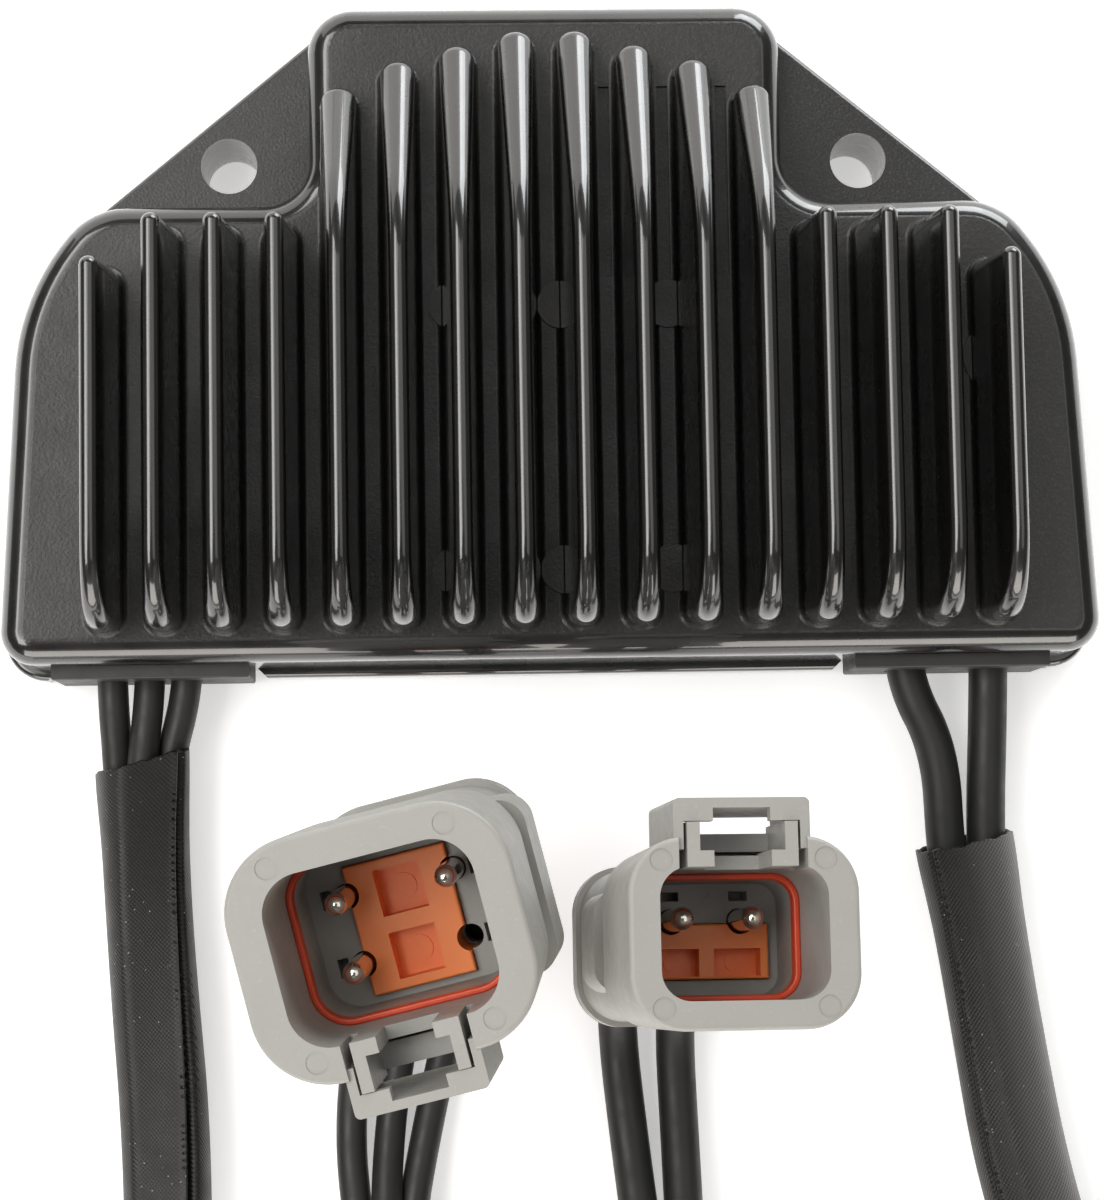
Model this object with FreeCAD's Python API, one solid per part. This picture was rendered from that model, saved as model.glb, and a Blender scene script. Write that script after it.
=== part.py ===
"""Voltage regulator rectifier: a finned die-cast heat sink with potted electronics,
two sets of leads in sleeves, and a four-way and a two-way sealed receptacle.

Millimetres, +Z up. The unit lies on its flat back with the fins up. The origin is on the
back plane, in the middle of the casting. +Y points at the mounting ears.
"""
import FreeCAD, Part
from FreeCAD import Vector as V
from math import acos, atan2, cos, pi, radians, sin, sqrt, tan
import os

# DRIVING DIMENSIONS

# Mounting: two clearance holes for quarter-inch screws, three inches apart
HOLE_SPACING = 76.2
HOLE_RADIUS = 3.4
HOLE_Y = 21.05
EAR_THICKNESS = 12.0
EAR_LINE_POINT = (41.8, 25.15)     # a point on the right ear's slanted edge
EAR_LINE_ANGLE = 39.6              # its fall towards the wing, in degrees
EAR_TIP_Y = 15.9                   # where that edge ends, above the wing's shoulder

# Casting: a tower in the middle and a wing on each side
PLATE_Z = 17.5
TOP_Y = 39.25
BOTTOM_Y = -39.25
TOWER_HALF = 28.4
TOWER_CORNER = 5.5
TOWER_FOOT = 5.4                   # hollow corner between tower and wing
WING_Y = 15.35
SHOULDER_X = 54.3                  # where the wing's top line meets the shoulder's chord
SHOULDER_SMALL = 8.9
SHOULDER_LARGE = 27.8
SHOULDER_CHORD = 13.57             # length of the shoulder's chord
SHOULDER_ANGLE = 50.0              # its fall from the wing's top line, in degrees
SIDE_LEAN = 3.0                    # the sides splay towards the bottom, in degrees
BOTTOM_CORNER = 4.0
EDGE_ROUND = 3.0                   # front edge of the plate
RIM_OUT = 1.1                      # foot rim round the open back
RIM_HEIGHT = 4.0
RIM_ROUND = 0.8
WALL = 3.6
FLOOR_THICKNESS = 4.0              # metal between the fins and the cavity

# Fins
FIN_COUNT = 16
FIN_PITCH = 7.0
FIN_TOP_Z = 34.0
CREST_HALF = 1.0                   # half the crest's width before rounding
FIN_DRAFT = 4.0                    # degrees on each flank
END_DRAFT = 3.0                    # degrees at a fin's lower end
HEAD_DRAFT = 6.0                   # degrees at a fin's upper end
CREST_ROUND = 0.75
HEAD_ROUND = 0.6
TOWER_HEAD_ROUND = 1.0
CROWN_RUN = 7.0                      # the crown's surface starts this far before the knee
CROWN_DROP = 0.03                    # a tower fin's round crown under its slope
CROWN_EXTRA = 1.03                   # its radius, over the radius tangent to both flanks
ROOT_ROUND = 0.7
FIN_FOOT_Y = -36.0
FOOT_ARC = 10.0                    # the crest falls to the foot on this radius
FOOT_TURN = 78.0                   # degrees of that arc
KNEE_Y = 10.8                      # tower crests slope up to full height here
HEAD_Z = 21.0                      # their height at the upper end
KNEE_ROUND = 30.0
WING_HEADS = (7.4, 12.3, 12.3, 12.3)       # upper ends from the outside inwards
TOWER_HEADS = (28.45, 31.6, 33.4, 35.15)

# Floor details between the fins
PAD_RADIUS, PAD_HEIGHT = 2.85, 0.3
PAD_XS, PAD_YS = (-11.3, 1.5, 14.2), (2.6, -29.0)
BIG_PAD, BIG_PAD_RADIUS = (53.7, -4.3), 4.4
SUNK_WIDTH, SUNK_DEPTH = 1.3, 0.4
SUNK_COUNT = 3                     # this many gaps, from right of the middle one
SUNK_Y = (5.9, 29.0)

# Lead seals in the bottom wall
SEAL_X = 47.8                      # middle of each seal
SEAL_WIDTH = 23.4
SEAL_Z = (1.0, 13.0)
SEAL_THICKNESS = 1.6
PLUG_WIDTH = 18.6
PLUG_Z = (3.2, 11.2)
SEAL_GAP = 0.5                     # rim cut back round the seal plate
ARCH_RISE, ARCH_WIDTH, ARCH_DEPTH = 1.7, 20.0, 1.0
LEAD_Z = 7.0

# Electronics in the potted cavity
POTTING_RECESS = 0.8
SHEET = 0.4
SUBSTRATE = (88.0, 34.0, 2.0)
SUBSTRATE_Y = -10.0
DEVICE = (10.0, 12.0, 4.0)
DEVICE_XS = (-36.0, -21.6, -7.2, 7.2, 21.6, 36.0)
DEVICE_Y = -12.0
BOARD = (112.0, 32.0, 1.6)
BOARD_Y = -10.0
BOARD_TAB = (40.0, 9.0)            # tongue of the board in the tower
CHIP = (9.9, 6.0, 1.75)
CAPACITOR_RADIUS, CAPACITOR_LENGTH = 3.1, 11.0
LUG = (3.6, 3.0, 5.6)
LEAD_END_Y = -30.0                 # the leads end here, against their lugs

# Leads: three stator wires and two output wires
STATOR_RADIUS = 1.85
OUTPUT_RADIUS = 2.35
STATOR_XS = (-52.9, -48.35, -43.85)
OUTPUT_XS = (42.7, 53.05)
STATOR_SLEEVE_RADIUS = 5.3
OUTPUT_SLEEVE_RADIUS = 5.6
STATOR_BUNDLE = ((-3.35, -0.8), (0.0, 1.2), (3.35, -0.8))  # wires across and up in a sleeve's end
OUTPUT_BUNDLE = ((-2.4, 0.0), (2.4, 0.0))

# The sleeves' routes on the table, from the seal to the receptacle
STATOR_ROUTE = (
    (-49.5, -51.5, 6.3), (-49.2, -62.0, 5.4), (-48.3, -77.0, 5.4), (-46.8, -94.0, 5.4),
    (-46.6, -113.0, 5.4), (-56.4, -130.6, 5.4), (-70.7, -145.2, 5.4), (-76.4, -164.9, 5.4),
    (-71.6, -184.3, 5.4), (-57.7, -198.7, 5.4), (-38.5, -204.2, 5.4), (-19.1, -199.3, 5.4),
    (-4.7, -185.5, 5.4), (0.8, -166.2, 5.4), (-4.0, -146.8, 5.4), (-15.0, -131.1, 5.4),
    (-19.5, -113.0, 5.4),
)
OUTPUT_ROUTE = (
    (49.6, -61.6, 6.4), (51.2, -71.0, 5.7), (53.2, -85.0, 5.7), (55.6, -101.0, 5.7),
    (60.2, -117.0, 5.7), (73.0, -132.4, 5.7), (88.9, -145.6, 5.7), (96.0, -165.0, 5.7),
    (92.8, -185.7, 5.7), (79.8, -202.3, 5.7), (60.5, -210.5, 5.7), (39.6, -208.3, 5.7),
    (22.4, -196.2, 5.7), (13.5, -177.3, 5.7), (12.9, -157.4, 5.7), (12.6, -137.4, 5.7),
    (12.6, -117.4, 5.7),
)

# The receptacles' leads after their bend: points on the table up to the sleeve's end
FOUR_WAY_BEND_Z = 11.0
TWO_WAY_BEND_Z = 13.5
FOUR_WAY_TABLE = (
    ((-21.0, -71.5, 1.95), (-24.0, -84.0, 1.95), (-25.2, -96.0, 2.6)),
    ((-17.6, -79.0, 1.95), (-20.2, -93.0, 2.4)),
    ((-9.0, -68.6, 1.95), (-13.0, -83.0, 1.95), (-15.8, -95.0, 2.6)),
)
TWO_WAY_TABLE = (
    ((7.2, -83.0, 2.45), (8.6, -97.0, 2.6)),
    ((14.2, -83.0, 2.45), (14.7, -97.0, 2.6)),
)
SLEEVE_APPROACH = 6.0              # the wires run straight into the sleeve over this length

# Receptacles: each lies in its own frame, with the mating face at w = 0 and its body below
BODY_LENGTH = 48.0
FLANGE_DEPTH = (1.8, 11.0)         # side flanges, counted from the shroud's rear edge
LEDGE_DEPTH = 15.5                 # ledge that carries the front seal
FLOOR_DEPTH = 23.0
CAVITY_RADIUS = 2.5
PIN_RADIUS = 1.2
BORE_RADIUS = 1.3
PIN_TIP_DEPTH = 14.0
CAVITY_DEPTH = 30.0
REAR_SEAL_THICKNESS = 5.5
REAR_SEAL_RECESS = 1.5             # from the rear edge in to the seal
CRIMP_CLEARANCE = 2.0              # between a contact's barrel and the rear seal
WEDGE_DEPTH = 22.0
WEDGE_THICKNESS = 6.0
WEDGE_GAP = 0.1
NOTCH_RADIUS = 1.45
WINDOW_DEPTH, WINDOW_PAD = 2.6, 0.15
FRONT_SEAL_HEIGHT = 1.6
MARK_RADIUS, MARK_DEPTH = 1.15, 0.1
LATCH_WIDTH = 13.8
LATCH_RISE = 3.9                   # bridge's height over the shroud
LATCH_LENGTH = 15.0
LATCH_OPENING = 11.8
LATCH_ROOF = 1.0                   # roof of the bridge behind its front bar
LATCH_BAR = (2.3, 1.6)             # front bar's height and depth
SILL_DEPTH, SILL_WALL, SILL_GROOVE = 7.0, 1.4, 0.5
RAMP_DEPTH, RAMP_RISE = 9.0, 0.8   # ramp behind the sill that the latch rides over

FOUR_WAY = {
    "name": "four_way", "face": (-19.35, -71.28, 72.0), "turn": 14.0, "lean": (-7.5, -4.3),
    "outer": (29.3, 25.0, 7.8), "mid": (27.6, 23.8, 7.0), "rear": (24.0, 21.6, 6.0),
    "shroud_depth": 22.5, "flange": (28.8, 19.0, 3.0),
    "mouth": (21.6, 17.6, 4.2), "pocket": (20.2, 16.2, 3.5),
    "cavities": ((-5.9, 3.7), (-5.9, -3.7), (5.9, 3.7), (5.9, -3.7)), "pins": 3,
    "wedge": (11.2, 14.0), "wedge_v": -0.3,
    "windows": (5.0, 5.0, ((0.0, 3.1), (0.0, -3.7))),
    "locks": (1.2, 2.0, ((-8.1, 3.7), (-8.1, -3.7), (8.1, 3.7), (8.1, -3.7))),
    "marks": (9.1, 9.9), "floor_marks": ((-3.8, -7.2), (3.8, -7.2)), "window_pad": 1.45,
    "seal": (20.0, 17.2, 4.0), "latch_side": -1, "wire_radius": STATOR_RADIUS,
}
TWO_WAY = {
    "name": "two_way", "face": (16.71, -70.86, 72.0), "turn": 0.0, "lean": (5.7, 2.8),
    "outer": (23.3, 19.1, 5.6), "mid": (22.6, 18.4, 5.2), "rear": (20.2, 16.8, 4.6),
    "shroud_depth": 20.0, "flange": (24.0, 10.6, 2.4),
    "mouth": (17.0, 13.2, 3.0), "pocket": (15.6, 11.8, 2.3),
    "cavities": ((-3.7, 2.0), (3.7, 2.0)), "pins": 2,
    "wedge": (13.4, 5.8), "wedge_v": -1.25,
    "windows": (5.0, 2.9, ((-3.3, -2.4), (3.3, -2.4))),
    "locks": (2.0, 1.0, ((-3.7, 4.6), (3.7, 4.6))),
    "marks": (8.3, 7.3), "floor_marks": ((0.0, 4.9), (0.0, -4.8)), "window_pad": 0.9,
    "seal": (16.0, 12.4, 3.2), "latch_side": 1, "wire_radius": OUTPUT_RADIUS,
}

# DERIVED VALUES

CAVITY_TOP = PLATE_Z - FLOOR_THICKNESS
SUBSTRATE_Z = CAVITY_TOP - SHEET - SUBSTRATE[2]
REAR_SEAL_DEPTH = BODY_LENGTH - REAR_SEAL_RECESS - REAR_SEAL_THICKNESS
WIRE_START_DEPTH = REAR_SEAL_DEPTH - CRIMP_CLEARANCE
BARREL_LENGTH = WIRE_START_DEPTH - CAVITY_DEPTH
DEVICE_Z = SUBSTRATE_Z - DEVICE[2]
BOARD_Z = DEVICE_Z - BOARD[2]
BOARD_EDGE_Y = BOARD_Y - BOARD[1] / 2
FIN_XS = [(i - (FIN_COUNT - 1) / 2) * FIN_PITCH for i in range(FIN_COUNT)]
FIN_HEADS = list(WING_HEADS + TOWER_HEADS) + list(reversed(WING_HEADS + TOWER_HEADS))
SEAL_OUT_Y = BOTTOM_Y - SEAL_THICKNESS

# HELPERS


def box(x0, x1, y0, y1, z0, z1):
    return Part.makeBox(x1 - x0, y1 - y0, z1 - z0, V(x0, y0, z0))


def centred_box(x, y, width, depth, z0, z1):
    return box(x - width / 2, x + width / 2, y - depth / 2, y + depth / 2, z0, z1)


def line(a, b):
    return Part.LineSegment(a, b).toShape()


def polygon_face(points):
    return Part.Face(Part.makePolygon(list(points) + [points[0]]))


def rounded_wire(corners, z=0.0):
    """Closed wire through (x, y, radius) corners, each rounded by its own radius."""
    edges, n = [], len(corners)
    cuts = []
    for i, (x, y, r) in enumerate(corners):
        p = V(x, y, z)
        a = (V(corners[i - 1][0], corners[i - 1][1], z) - p).normalize()
        b = (V(corners[(i + 1) % n][0], corners[(i + 1) % n][1], z) - p).normalize()
        half = acos(max(-1.0, min(1.0, a.dot(b)))) / 2
        reach = r / tan(half)
        middle = p + (a + b).normalize() * (r / sin(half) - r)
        cuts.append((p + a * reach, middle, p + b * reach))
    for i, (start, middle, end) in enumerate(cuts):
        edges.append(Part.Arc(start, middle, end).toShape())
        edges.append(line(end, cuts[(i + 1) % n][0]))
    return Part.Wire(edges)


def rounded_rectangle(width, height, radius, z=0.0):
    w, h = width / 2, height / 2
    return rounded_wire([(w, h, radius), (-w, h, radius), (-w, -h, radius), (w, -h, radius)], z)


def rounded_block(size, z0, z1):
    return Part.Face(rounded_rectangle(size[0], size[1], size[2], z0)).extrude(V(0, 0, z1 - z0))


def tapered_block(size0, z0, size1, z1):
    wires = [rounded_rectangle(*size0, z0), rounded_rectangle(*size1, z1)]
    return Part.makeLoft(wires, True, True)


def cylinder(radius, x, y, z0, z1):
    return Part.makeCylinder(radius, z1 - z0, V(x, y, z0))


def tube(name, points, radius):
    """Round tube along straight runs joined by tangent arcs."""
    p = [V(*q) for q in points]
    edges, at, radii, total = [], p[0], [], 0.0
    for i in range(1, len(p) - 1):
        a, b = p[i - 1] - p[i], p[i + 1] - p[i]
        short = 0.45 * min(a.Length, b.Length)
        a.normalize()
        b.normalize()
        half_turn = (pi - acos(max(-1.0, min(1.0, a.dot(b))))) / 2
        r = short / tan(half_turn)
        start, end = p[i] + a * short, p[i] + b * short
        middle = p[i] + (a + b).normalize() * (r / cos(half_turn) - r)
        edges += [line(at, start), Part.Arc(start, middle, end).toShape()]
        radii.append(r)
        at = end
    edges.append(line(at, p[-1]))
    path = Part.Wire(edges)
    ring = Part.Wire(Part.Circle(p[0], p[1] - p[0], radius).toShape())
    solid = path.makePipeShell([ring], True, False)
    ratio = solid.Volume / (pi * radius ** 2 * path.Length)
    print("%s: length %.1f, tightest radius %.1f (%.1f diameters), volume ratio %.4f"
          % (name, path.Length, min(radii), min(radii) / radius / 2, ratio))
    return solid


# CASTING


def casting_corners():
    """Right half of the outline from the tower's top down, then mirrored."""
    fall = radians(SHOULDER_ANGLE)
    chord_x = SHOULDER_X + SHOULDER_CHORD * cos(fall)
    chord_y = WING_Y - SHOULDER_CHORD * sin(fall)
    bottom_x = chord_x + (chord_y - BOTTOM_Y) * tan(radians(SIDE_LEAN))
    right = [
        (TOWER_HALF, TOP_Y, TOWER_CORNER), (TOWER_HALF, WING_Y, TOWER_FOOT),
        (SHOULDER_X, WING_Y, SHOULDER_SMALL), (chord_x, chord_y, SHOULDER_LARGE),
        (bottom_x, BOTTOM_Y, BOTTOM_CORNER),
    ]
    return right + [(-x, y, r) for x, y, r in reversed(right)]


def outline(offset=0.0, z=0.0):
    wire = rounded_wire(casting_corners(), z)
    return wire if not offset else wire.makeOffset2D(offset)


def ear(side):
    fall = tan(radians(EAR_LINE_ANGLE))
    px, py = EAR_LINE_POINT
    inner_x = TOWER_HALF - 3
    tip_x = px + (py - EAR_TIP_Y) / fall
    low_y = WING_Y - 4
    corners = [(inner_x, low_y), (tip_x - 0.6, low_y), (tip_x, EAR_TIP_Y),
               (inner_x, py + (px - inner_x) * fall)]
    solid = polygon_face([V(side * x, y, 0) for x, y in corners]).extrude(V(0, 0, EAR_THICKNESS))
    edge = [e for e in solid.Edges if abs(e.CenterOfMass.z - EAR_THICKNESS) < 1e-6
            and abs(e.CenterOfMass.y - (py + (px - (inner_x + tip_x) / 2) * fall)) < 0.5]
    return solid.makeFillet(RIM_ROUND, edge)


def fin_prism(foot_y, head_y, sloped):
    """Long drafted fin with its side profile cut and both crest edges rounded."""
    low = PLATE_Z - 1.5
    draft = tan(radians(FIN_DRAFT))
    base = CREST_HALF + draft * (FIN_TOP_Z - low)
    top = CREST_HALF - draft
    y0, y1 = foot_y - 6, head_y + 6
    section = polygon_face([V(-base, y0, low), V(base, y0, low), V(top, y0, FIN_TOP_Z + 1),
                            V(-top, y0, FIN_TOP_Z + 1)])
    wedge = section.extrude(V(0, y1 - y0, 0))
    turn = radians(FOOT_TURN)
    centre_y = foot_y + 0.4 + FOOT_ARC * sin(turn)

    def on_foot(angle):
        return V(0, centre_y - FOOT_ARC * sin(angle), FIN_TOP_Z - FOOT_ARC * (1 - cos(angle)))

    crest, foot = V(0, centre_y, FIN_TOP_Z), on_foot(turn)
    toe = V(0, foot.y - (foot.z - low) / tan(turn), low)
    edges = [line(toe, foot), Part.Arc(foot, on_foot(turn / 2), crest).toShape()]
    if sloped:
        slope = atan2(FIN_TOP_Z - HEAD_Z, head_y - KNEE_Y)
        reach = KNEE_ROUND * tan(slope / 2)
        start = V(0, KNEE_Y - reach, FIN_TOP_Z)
        drop = KNEE_ROUND * (1 - cos(slope / 2))
        middle = V(0, start.y + KNEE_ROUND * sin(slope / 2), FIN_TOP_Z - drop)
        end = V(0, KNEE_Y + reach * cos(slope), FIN_TOP_Z - reach * sin(slope))
        last = V(0, y1, FIN_TOP_Z - (y1 - KNEE_Y) * tan(slope))
        edges += [line(crest, start), Part.Arc(start, middle, end).toShape(), line(end, last)]
    else:
        last = V(0, y1, FIN_TOP_Z)
        edges.append(line(crest, last))
    under = [V(0, y1, low - 2), V(0, toe.y, low - 2), toe]
    for point in under:
        edges.append(line(last, point))
        last = point
    profile = Part.Face(Part.Wire(edges))
    profile.translate(V(-6, 0, 0))
    solid = wedge.common(profile.extrude(V(12, 0, 0)))
    crest_edges = []
    for e in solid.Edges:
        ys, zs = [v.Y for v in e.Vertexes], [v.Z for v in e.Vertexes]
        if abs(e.CenterOfMass.x) > 0.3 and max(ys) - min(ys) > 0.3 and min(zs) > low - 1 \
                and e.CenterOfMass.z > low + 0.5:
            crest_edges.append(e)
    solid = solid.makeFillet(CREST_ROUND, crest_edges)
    return solid.common(crowned_wedge(slope, y0, y1)) if sloped else solid


def crowned_wedge(slope, first_y, last_y):
    """Fully rounded crown that follows a sloped head and grows wider with the draft, with a
    plain block round the rest of the fin.
    """
    start = KNEE_Y - CROWN_RUN
    draft = radians(FIN_DRAFT)

    def section(y):
        top = FIN_TOP_Z - (y - KNEE_Y) * tan(slope) - CROWN_DROP
        r = CROWN_EXTRA * cos(draft) * (CREST_HALF + (FIN_TOP_Z - top) * tan(draft)) / (1 - sin(draft))
        low, wide = top - r - 30, r + 30 * tan(radians(10))
        a, b, c, d = V(-wide, y, low), V(wide, y, low), V(r, y, top - r), V(-r, y, top - r)
        return Part.Wire([line(a, b), line(b, c), Part.Arc(c, V(0, y, top), d).toShape(), line(d, a)])

    crown = Part.makeLoft([section(start), section(last_y + 1)], True, True)
    return crown.fuse(box(-12, 12, first_y - 1, start, 0, FIN_TOP_Z + 2))


def fin_plan(foot_y, head_y):
    """Round-ended drafted block that trims a fin in plan."""
    low, high = PLATE_Z - 1.5, FIN_TOP_Z + 1
    draft = tan(radians(FIN_DRAFT))
    lower, upper = tan(radians(END_DRAFT)), tan(radians(HEAD_DRAFT))

    def stadium(z):
        rise = z - PLATE_Z
        r = CREST_HALF + 0.01 + draft * (FIN_TOP_Z - z)
        y0, y1 = foot_y + lower * rise, head_y - upper * rise
        a, b, c, d = V(-r, y0 + r, z), V(-r, y1 - r, z), V(r, y1 - r, z), V(r, y0 + r, z)
        return Part.Wire([line(a, b), Part.Arc(b, V(0, y1, z), c).toShape(), line(c, d),
                          Part.Arc(d, V(0, y0, z), a).toShape()])

    return Part.makeLoft([stadium(low), stadium(high)], True, True)


def fin(x, head_y, sloped):
    solid = fin_prism(FIN_FOOT_Y, head_y, sloped).common(fin_plan(FIN_FOOT_Y, head_y))
    rim = [e for e in solid.Edges if e.CenterOfMass.y > head_y - 4.5 and e.CenterOfMass.z > PLATE_Z + 0.5]
    if sloped:
        solid = solid.makeFillet(TOWER_HEAD_ROUND, [e for e in rim if abs(e.CenterOfMass.x) < 0.5])
    else:
        solid = solid.makeFillet(HEAD_ROUND, [e for e in rim if e.Length < 4])
    solid.translate(V(x, 0, 0))
    return solid


def seal_clearance(side):
    """Room in the foot rim for a seal plate, with slanted ends."""
    half = SEAL_WIDTH / 2 + SEAL_GAP
    x, y0, y1 = side * SEAL_X, BOTTOM_Y, BOTTOM_Y - 2 * RIM_OUT
    corners = [V(x - half, y0, -1), V(x + half, y0, -1), V(x + half + 2 * RIM_OUT, y1, -1),
               V(x - half - 2 * RIM_OUT, y1, -1)]
    return polygon_face(corners).extrude(V(0, 0, RIM_HEIGHT + 2))


def seal_arch(side):
    """Shallow arched relief in the wall over a seal plate."""
    chord = ARCH_WIDTH / 2
    z = SEAL_Z[1]
    a, b = V(-chord, 0, z), V(chord, 0, z)
    face = Part.Face(Part.Wire([Part.Arc(a, V(0, 0, z + ARCH_RISE), b).toShape(), line(b, a)]))
    solid = face.extrude(V(0, ARCH_DEPTH + 1, 0))
    solid.translate(V(side * SEAL_X, BOTTOM_Y - 1, 0))
    return solid


def seal_window(side):
    return centred_box(side * SEAL_X, BOTTOM_Y + WALL / 2, PLUG_WIDTH, WALL + 2, *PLUG_Z)


def cavity(low):
    return Part.Face(outline(-WALL, low)).extrude(V(0, 0, CAVITY_TOP - low))


def heat_sink():
    plate = Part.Face(outline()).extrude(V(0, 0, PLATE_Z))
    front = [e for e in plate.Edges if abs(e.CenterOfMass.z - PLATE_Z) < 1e-6]
    plate = plate.makeFillet(EDGE_ROUND, front)
    rim = Part.Face(outline(RIM_OUT)).extrude(V(0, 0, RIM_HEIGHT))
    rim_edges = [e for e in rim.Edges if abs(e.CenterOfMass.z - RIM_HEIGHT) < 1e-6]
    rim = rim.makeFillet(RIM_ROUND, rim_edges).cut(seal_clearance(-1)).cut(seal_clearance(1))
    body = plate.fuse([rim, ear(-1), ear(1)])
    places = [(PAD_RADIUS, x, y) for x in PAD_XS for y in PAD_YS] + [(BIG_PAD_RADIUS, *BIG_PAD)]
    pads = [cylinder(*place, PLATE_Z - 1, PLATE_Z + PAD_HEIGHT) for place in places]
    fins = [fin(x, head, abs(x) < TOWER_HALF) for x, head in zip(FIN_XS, FIN_HEADS)]
    body = body.fuse(fins)
    root = [e for e in body.Edges if abs(e.CenterOfMass.z - PLATE_Z) < 1e-4
            and e.BoundBox.ZLength < 1e-4 and is_fin_root(e)]
    body = body.makeFillet(ROOT_ROUND, root)
    body = body.fuse(pads)
    for i in range(FIN_COUNT // 2, FIN_COUNT // 2 + SUNK_COUNT):
        x = (FIN_XS[i] + FIN_XS[i + 1]) / 2
        half = SUNK_WIDTH / 2
        body = body.cut(box(x - half, x + half, *SUNK_Y, PLATE_Z - SUNK_DEPTH, PLATE_Z + 1))
    tools = [cavity(-1.0)]
    for side in (-1, 1):
        tools += [cylinder(HOLE_RADIUS, side * HOLE_SPACING / 2, HOLE_Y, -1, EAR_THICKNESS + 1),
                  seal_window(side), seal_arch(side)]
    return body.cut(tools).removeSplitter()


def is_fin_root(edge):
    c = edge.CenterOfMass
    x = min(FIN_XS, key=lambda f: abs(f - c.x))
    return abs(c.x - x) < 3.2 and FIN_FOOT_Y - 1 < c.y < max(FIN_HEADS) + 1 and edge.Length < TOP_Y - BOTTOM_Y \
        and abs(c.y - BOTTOM_Y) > 3


# LEAD SEALS


def lead_seal(side, xs, wire_radius):
    x = side * SEAL_X
    plate = centred_box(x, BOTTOM_Y - SEAL_THICKNESS / 2, SEAL_WIDTH, SEAL_THICKNESS, *SEAL_Z)
    outer = [e for e in plate.Edges if abs(e.CenterOfMass.y - SEAL_OUT_Y) < 1e-6]
    plate = plate.makeFillet(0.3, outer)
    plug = centred_box(x, BOTTOM_Y + WALL / 2, PLUG_WIDTH, WALL, *PLUG_Z)
    solid = plate.fuse(plug)
    length = WALL + SEAL_THICKNESS + 2
    starts = [V(wx, SEAL_OUT_Y - 1, LEAD_Z) for wx in xs]
    holes = [Part.makeCylinder(wire_radius, length, start, V(0, 1, 0)) for start in starts]
    return solid.cut(holes).removeSplitter()


# ELECTRONICS


def circuit_board():
    solid = centred_box(0, BOARD_Y, BOARD[0], BOARD[1], BOARD_Z, DEVICE_Z)
    tab_y = BOARD_Y + BOARD[1] / 2
    tab = box(-BOARD_TAB[0] / 2, BOARD_TAB[0] / 2, tab_y - 1, tab_y + BOARD_TAB[1], BOARD_Z, DEVICE_Z)
    return solid.fuse(tab).removeSplitter()


def capacitor():
    y = BOARD_Y + BOARD[1] / 2 + BOARD_TAB[1] / 2
    start = V(-CAPACITOR_LENGTH / 2, y, DEVICE_Z + CAPACITOR_RADIUS)
    return Part.makeCylinder(CAPACITOR_RADIUS, CAPACITOR_LENGTH, start, V(1, 0, 0))


def lug(x):
    half = LUG[2] / 2
    return box(x - LUG[0] / 2, x + LUG[0] / 2, LEAD_END_Y, BOARD_EDGE_Y, LEAD_Z - half, LEAD_Z + half)


def potting(inside):
    return cavity(POTTING_RECESS).cut(inside)


# LEADS


def heading(route, first):
    a, b = (V(*route[0]), V(*route[1])) if first else (V(*route[-1]), V(*route[-2]))
    return (b - a).normalize()


def sleeve_ends(route, first, bundle):
    """Where the wires meet a sleeve's end face, with the direction into the sleeve."""
    into = heading(route, first)
    middle = V(*(route[0] if first else route[-1]))
    across = V(0, 0, 1).cross(into).normalize()
    up = into.cross(across).normalize()
    return [middle + across * x + up * z for x, z in bundle], into


def housing_wire(x, end, into):
    """Lead from its lug through the seal to the sleeve's mouth."""
    turn_y = SEAL_OUT_Y + 0.25 * (end.y - SEAL_OUT_Y)
    before = end + into * (0.35 * (end.y - turn_y))
    return [(x, LEAD_END_Y, LEAD_Z), (x, turn_y, LEAD_Z), tuple(before), tuple(end)]


def receptacle_frame(c):
    """Axes and place of a receptacle: u and v span its face and w points out of it."""
    turn, (lean_u, lean_v) = radians(c["turn"]), c["lean"]
    u, v = V(cos(turn), sin(turn), 0), V(-sin(turn), cos(turn), 0)
    w = u * sin(radians(lean_u)) + v * sin(radians(lean_v))
    w.z = sqrt(1 - w.x ** 2 - w.y ** 2)
    u = (u - w * u.dot(w)).normalize()
    return u, w.cross(u), w, V(*c["face"])


def placed(solid, c):
    u, v, w, o = receptacle_frame(c)
    moved = solid.copy()
    moved.Placement = FreeCAD.Placement(FreeCAD.Matrix(
        u.x, v.x, w.x, o.x, u.y, v.y, w.y, o.y, u.z, v.z, w.z, o.z, 0, 0, 0, 1))
    return moved


def receptacle_point(c, u, v, w):
    axis_u, axis_v, axis_w, origin = receptacle_frame(c)
    return origin + axis_u * u + axis_v * v + axis_w * w


def receptacle_wire(c, cavity, bend_height, table, end, into):
    """Lead from its contact down through the rear seal, onto the table and into the sleeve."""
    u, v = c["cavities"][cavity]
    start = receptacle_point(c, u, v, -WIRE_START_DEPTH)
    w = receptacle_frame(c)[2]
    bend = start - w * ((start.z - bend_height) / w.z)
    before = end - into * SLEEVE_APPROACH
    return [tuple(start), tuple(bend)] + list(table) + [tuple(before), tuple(end)]


# RECEPTACLES


def latch_turned(solid, c):
    """Built over the +v side, and turned to the receptacle's own latch side."""
    return solid if c["latch_side"] > 0 else solid.rotate(V(0, 0, 0), V(0, 0, 1), 180)


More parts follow.
